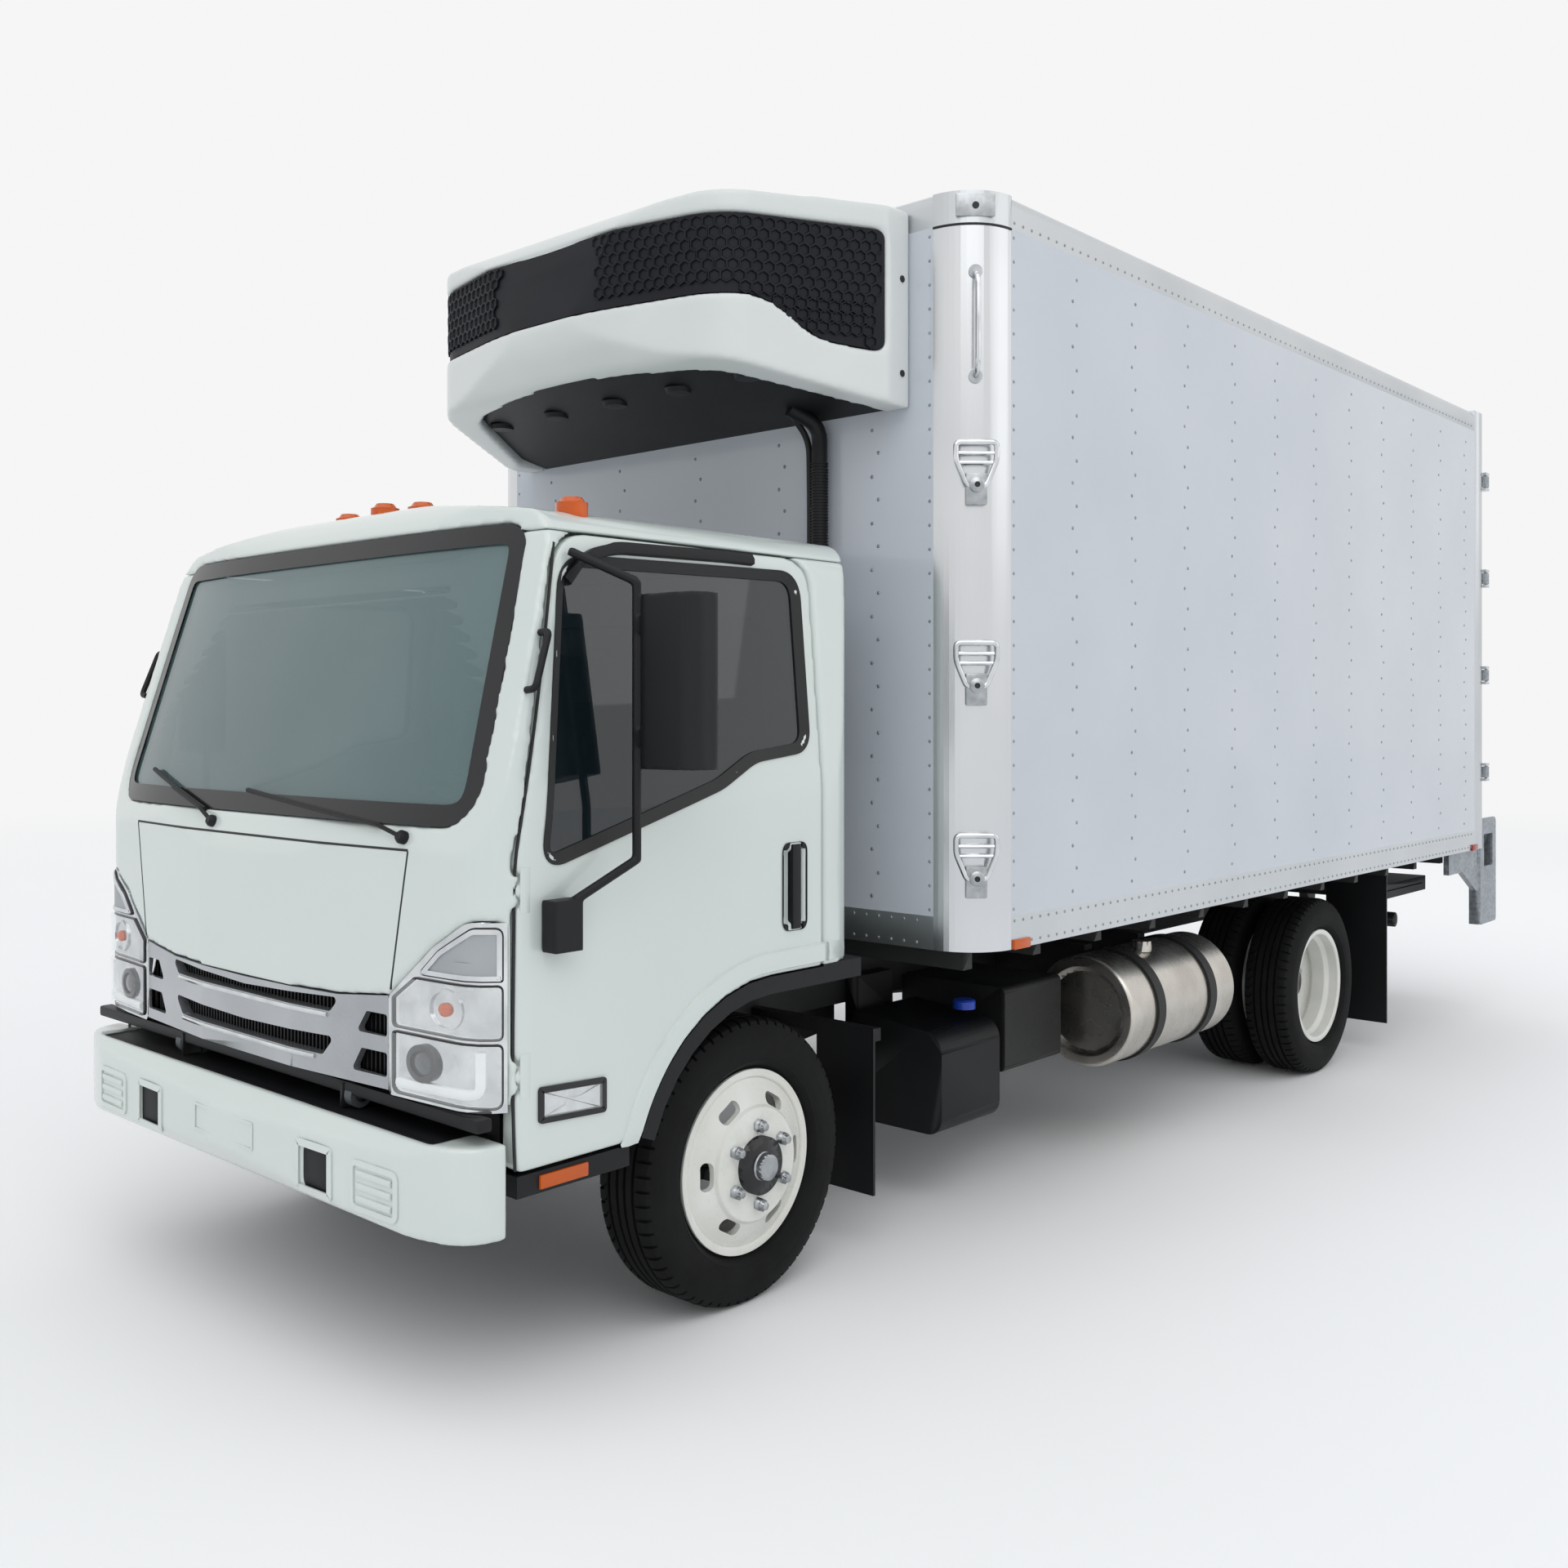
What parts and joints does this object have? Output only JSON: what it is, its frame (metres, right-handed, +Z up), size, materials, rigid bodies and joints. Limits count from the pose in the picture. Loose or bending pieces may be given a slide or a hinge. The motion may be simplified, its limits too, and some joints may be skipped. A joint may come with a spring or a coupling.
{
  "type": "refrigerated box truck",
  "caption": "Light cab-forward truck with an insulated box body, a nose-mounted cooling unit, swing rear doors, a tilting cab and a folded tail lift.",
  "frame": {"origin": "on the ground under the middle of the vehicle's overall length and width", "axes": "+Z up, the truck faces -Y, +X is the truck's left side"},
  "size_m": [2.6, 7.115, 3.329],
  "materials": {
    "white_paint": "clean",
    "dark_steel": "clean",
    "frame_black": "clean",
    "black_plastic": "clean",
    "aluminium": "clean",
    "galvanised": "clean",
    "glass": "clean",
    "lamp": "clean",
    "silver_plastic": "clean",
    "tyre": "clean",
    "rubber": "clean",
    "seat_fabric": "clean",
    "floor": "clean",
    "cast": "clean"
  },
  "bodies": {
    "chassis": {"frame_rails": "frame_black", "front_bumper": "white_paint", "front_axle": "cast", "rear_axle": "cast", "leaf_springs": "dark_steel", "engine": "cast", "propshaft": "dark_steel", "urea_tank": "black_plastic", "battery_box": "black_plastic", "unit_fuel_tank": "aluminium", "tank_straps": "dark_steel", "exhaust_canister": "dark_steel", "mudflaps": "rubber", "subframe": "dark_steel", "box_floor": "floor", "box_panels": "white_paint", "corner_posts": "aluminium", "box_rails": "aluminium", "rear_frame": "white_paint", "liftgate_frame": "galvanised", "liftgate_platform": "dark_steel", "unit_shell": "white_paint", "unit_grille": "black_plastic", "unit_pan": "black_plastic", "evaporator": "white_paint"},
    "cab": {"cab_front_frame": "white_paint", "cab_roof": "white_paint", "cab_rear": "white_paint", "cab_floor": "dark_steel", "cab_glass": "glass", "grille": "silver_plastic", "cab_lamps": "lamp", "arch_liners": "black_plastic", "cab_steps": "black_plastic", "seats": "seat_fabric", "dashboard": "black_plastic"},
    "steering_wheel": {"steering_wheel": "black_plastic"},
    "cab_door_left": {"cab_door_left": "white_paint", "door_glass_left": "glass", "mirror_left": "black_plastic"},
    "cab_door_right": {"cab_door_right": "white_paint", "door_glass_right": "glass", "mirror_right": "black_plastic"},
    "knuckle_left": {"knuckle_left": "cast"},
    "knuckle_right": {"knuckle_right": "cast"},
    "front_wheel_left": {"front_wheel_left": "white_paint", "front_tyre_left": "tyre"},
    "front_wheel_right": {"front_wheel_right": "white_paint", "front_tyre_right": "tyre"},
    "rear_wheels_left": {"rear_wheels_left": "white_paint", "rear_tyres_left": "tyre"},
    "rear_wheels_right": {"rear_wheels_right": "white_paint", "rear_tyres_right": "tyre"},
    "rear_door_left": {"rear_door_left": "white_paint"},
    "rear_door_right": {"rear_door_right": "white_paint"}
  },
  "joints": [
    {"name": "steer_left", "type": "hinge", "parent": "chassis", "child": "knuckle_left", "pos_m": [0.77, -2.4475, 0.405], "axis": [0, 0, 1], "range_deg": [-40, 40]},
    {"name": "front_wheel_left_spin", "type": "hinge", "parent": "knuckle_left", "child": "front_wheel_left", "pos_m": [0.832, -2.4475, 0.405], "axis": [1, 0, 0], "continuous": true},
    {"name": "rear_wheels_left_spin", "type": "hinge", "parent": "chassis", "child": "rear_wheels_left", "pos_m": [0.825, 1.3625, 0.405], "axis": [1, 0, 0], "continuous": true},
    {"name": "cab_door_left_hinge", "type": "hinge", "parent": "cab", "child": "cab_door_left", "pos_m": [1.008, -3.3435, 1], "axis": [0, 0, -1], "range_deg": [0, 70]},
    {"name": "rear_door_left_hinge", "type": "hinge", "parent": "chassis", "child": "rear_door_left", "pos_m": [1.227, 3.2515, 2], "axis": [0, 0, -1], "range_deg": [0, 270]},
    {"name": "steer_right", "type": "hinge", "parent": "chassis", "child": "knuckle_right", "pos_m": [-0.77, -2.4475, 0.405], "axis": [0, 0, 1], "range_deg": [-40, 40]},
    {"name": "front_wheel_right_spin", "type": "hinge", "parent": "knuckle_right", "child": "front_wheel_right", "pos_m": [-0.832, -2.4475, 0.405], "axis": [1, 0, 0], "continuous": true},
    {"name": "rear_wheels_right_spin", "type": "hinge", "parent": "chassis", "child": "rear_wheels_right", "pos_m": [-0.825, 1.3625, 0.405], "axis": [1, 0, 0], "continuous": true},
    {"name": "cab_door_right_hinge", "type": "hinge", "parent": "cab", "child": "cab_door_right", "pos_m": [-1.008, -3.3435, 1], "axis": [0, 0, 1], "range_deg": [0, 70]},
    {"name": "rear_door_right_hinge", "type": "hinge", "parent": "chassis", "child": "rear_door_right", "pos_m": [-1.227, 3.2515, 2], "axis": [0, 0, 1], "range_deg": [0, 270]},
    {"name": "cab_tilt", "type": "hinge", "parent": "chassis", "child": "cab", "pos_m": [0, -3.4225, 0.7], "axis": [1, 0, 0], "range_deg": [0, 45]},
    {"name": "steering_wheel_turn", "type": "hinge", "parent": "cab", "child": "steering_wheel", "pos_m": [0.47, -3.0075, 1.4], "axis": [0, 0.5299, 0.848], "range_deg": [-650, 650]}
  ],
  "couplings": [
    {"joint": "steer_right", "follows": "steer_left", "ratio": 1},
    {"joint": "steering_wheel_turn", "follows": "steer_left", "ratio": 16}
  ]
}
